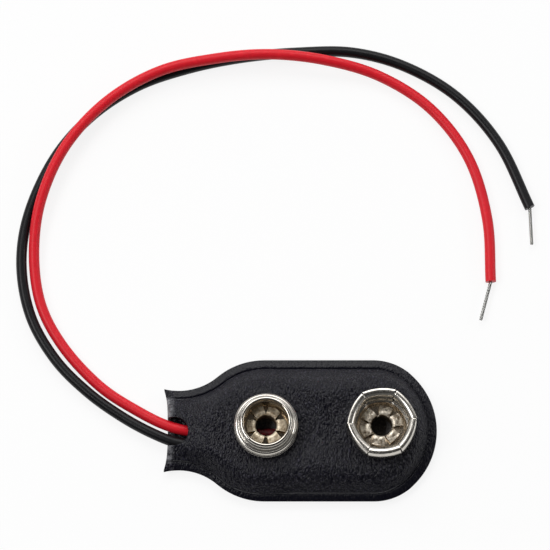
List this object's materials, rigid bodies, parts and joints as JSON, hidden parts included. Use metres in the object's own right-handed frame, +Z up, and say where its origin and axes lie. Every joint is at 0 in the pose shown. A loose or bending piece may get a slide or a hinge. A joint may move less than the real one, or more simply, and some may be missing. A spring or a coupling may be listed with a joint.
{
  "type": "battery snap connector",
  "caption": "Flat snap connector for a block battery: a folded, welded leatherette pouch with a round stud and a leaf socket riveted on, and two thin leads with bare ends.",
  "frame": {"origin": "on the table under the middle of the cover, leads left out", "axes": "+X from the fold where the leads come out to the round tip, +Z up, the way the contacts face"},
  "size_m": [0.0581, 0.0527, 0.0056],
  "materials": {
    "leatherette": "fine grain, satin",
    "fibre_board": "matt pressed fibre",
    "nickel": "nickel plate, bright with fine draw marks",
    "eyelet_metal": "nickel-washed brass, warm",
    "tinned_tag": "dull tin plate",
    "solder": "dull grey solder",
    "red_insulation": "satin soft vinyl",
    "black_insulation": "satin soft vinyl",
    "tinned_strand": "twisted tinned strands"
  },
  "bodies": {
    "root": {"cover": "leatherette", "insulator_board": "fibre_board", "stud_contact": "nickel", "socket_contact": "nickel", "stud_eyelet": "eyelet_metal", "socket_eyelet": "eyelet_metal", "stud_tag": "tinned_tag", "socket_tag": "tinned_tag", "stud_solder": "solder", "socket_solder": "solder", "red_lead": "red_insulation", "black_lead": "black_insulation", "red_inner_core": "tinned_strand", "red_bare_end": "tinned_strand", "black_inner_core": "tinned_strand", "black_bare_end": "tinned_strand"}
  },
  "joints": []
}
